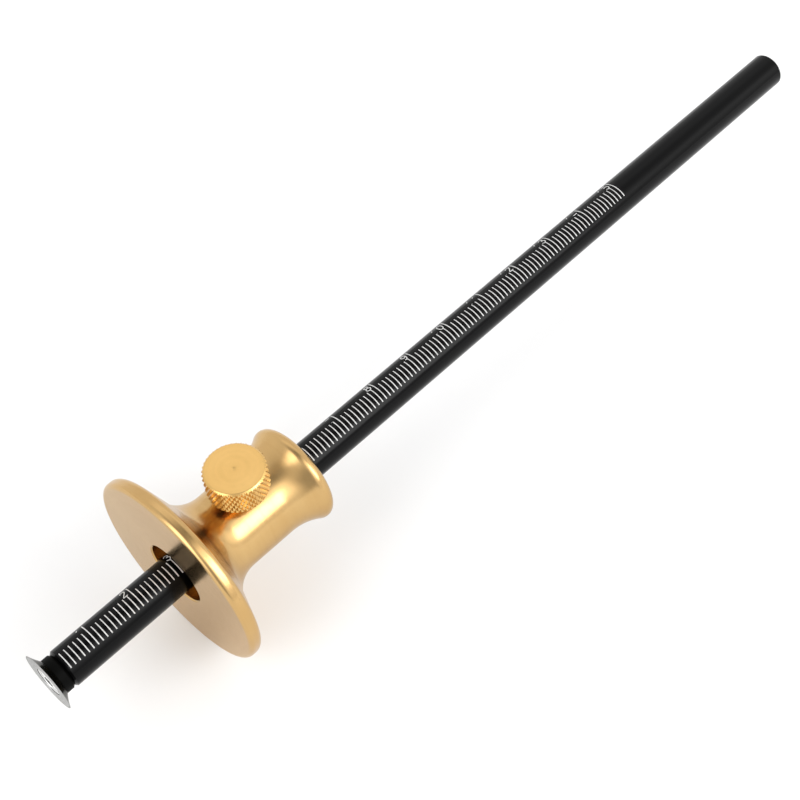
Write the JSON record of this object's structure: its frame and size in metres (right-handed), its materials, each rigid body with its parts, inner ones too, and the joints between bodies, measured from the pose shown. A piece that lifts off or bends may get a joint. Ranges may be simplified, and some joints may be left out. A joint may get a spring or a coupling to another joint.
{
  "type": "wheel marking gauge",
  "caption": "Marking gauge: a flanged brass fence slides along a round graduated beam, clamped by a knurled thumb screw, with a bevelled cutting wheel at the beam's end.",
  "frame": {"origin": "centre of the fence's flat working face, on the beam's axis", "axes": "+X along the beam from the fence towards its blank rear end, +Z out through the thumb screw, +Y completes the right-handed set"},
  "size_m": [0.2031, 0.0398, 0.0398],
  "materials": {
    "fence_brass": "satin, turned",
    "knob_brass": "satin face, knurled edge",
    "black_anodised": "black anodised, semi-gloss",
    "black_oxide": "matte black",
    "cutter_steel": "ground and lapped",
    "screw_steel": "bright",
    "pad_nylon": "natural nylon",
    "ring_rubber": "matte",
    "scale_marks": "bare metal marks cut through the black"
  },
  "bodies": {
    "fence": {"fence_head": "fence_brass"},
    "ring": {"friction_ring": "ring_rubber"},
    "beam": {"beam_rod": "black_anodised", "cutter_collar": "black_oxide", "cutter_screw": "screw_steel"},
    "cutter": {"cutter_wheel": "cutter_steel"},
    "pad": {"clamp_pad": "pad_nylon"},
    "thumb": {"thumb_screw": "knob_brass"}
  },
  "joints": [
    {"name": "beam_turn", "type": "hinge", "parent": "fence", "child": "ring", "pos_m": [0, 0, 0], "axis": [1, 0, 0], "continuous": true},
    {"name": "beam_slide", "type": "slide", "parent": "ring", "child": "beam", "axis": [1, 0, 0], "range_m": [-0.144, 0.0304]},
    {"name": "cutter_turn", "type": "hinge", "parent": "beam", "child": "cutter", "pos_m": [-0.0286, 0, 0], "axis": [1, 0, 0], "continuous": true},
    {"name": "pad_travel", "type": "slide", "parent": "fence", "child": "pad", "axis": [0, 0, 1], "range_m": [0, 0.0012]},
    {"name": "thumb_turn", "type": "hinge", "parent": "pad", "child": "thumb", "pos_m": [0.017, 0, 0], "axis": [0, 0, 1], "range_deg": [0, 540]}
  ],
  "couplings": [
    {"joint": "thumb_turn", "follows": "pad_travel", "rad_per_m": 7854}
  ]
}
